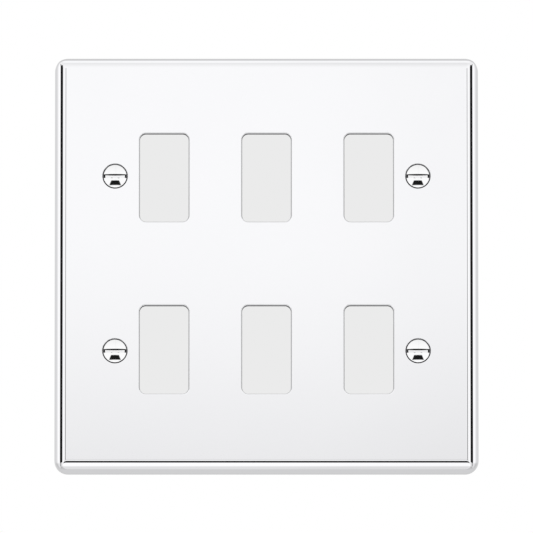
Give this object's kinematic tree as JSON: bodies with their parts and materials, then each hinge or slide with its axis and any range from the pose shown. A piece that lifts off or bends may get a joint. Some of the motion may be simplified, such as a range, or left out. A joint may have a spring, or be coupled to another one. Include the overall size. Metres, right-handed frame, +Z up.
{
  "type": "grid switch plate",
  "caption": "Square chromed front plate for a grid switch, with a rounded edge, open windows for switch modules in rows, and captive slotted fixing screws.",
  "frame": {"origin": "middle of the screw pattern, on the wall plane that the skirt's rim meets", "axes": "+Z up as on a wall, +X to the viewer's right, the face looks along -Y and the screws run along +Y into the wall box"},
  "size_m": [0.146, 0.0187, 0.146],
  "materials": {
    "chromed_sheet": "mirror polished chrome plate on pressed steel",
    "chromed_screw": "polished chrome plate on a turned steel screw",
    "washer_plastic": "natural white moulded nylon, semi-matt"
  },
  "bodies": {
    "plate": {"front_plate": "chromed_sheet"},
    "screw_upper_left": {"fixing_screw_upper_left": "chromed_screw", "retaining_washer_upper_left": "washer_plastic"},
    "screw_upper_right": {"fixing_screw_upper_right": "chromed_screw", "retaining_washer_upper_right": "washer_plastic"},
    "screw_lower_left": {"fixing_screw_lower_left": "chromed_screw", "retaining_washer_lower_left": "washer_plastic"},
    "screw_lower_right": {"fixing_screw_lower_right": "chromed_screw", "retaining_washer_lower_right": "washer_plastic"}
  },
  "joints": [
    {"name": "turn_upper_left", "type": "hinge", "parent": "plate", "child": "screw_upper_left", "pos_m": [-0.0522, 0, 0.03075], "axis": [0, 1, 0], "continuous": true},
    {"name": "turn_upper_right", "type": "hinge", "parent": "plate", "child": "screw_upper_right", "pos_m": [0.0522, 0, 0.03075], "axis": [0, 1, 0], "continuous": true},
    {"name": "turn_lower_left", "type": "hinge", "parent": "plate", "child": "screw_lower_left", "pos_m": [-0.0522, 0, -0.03075], "axis": [0, 1, 0], "continuous": true},
    {"name": "turn_lower_right", "type": "hinge", "parent": "plate", "child": "screw_lower_right", "pos_m": [0.0522, 0, -0.03075], "axis": [0, 1, 0], "continuous": true}
  ]
}
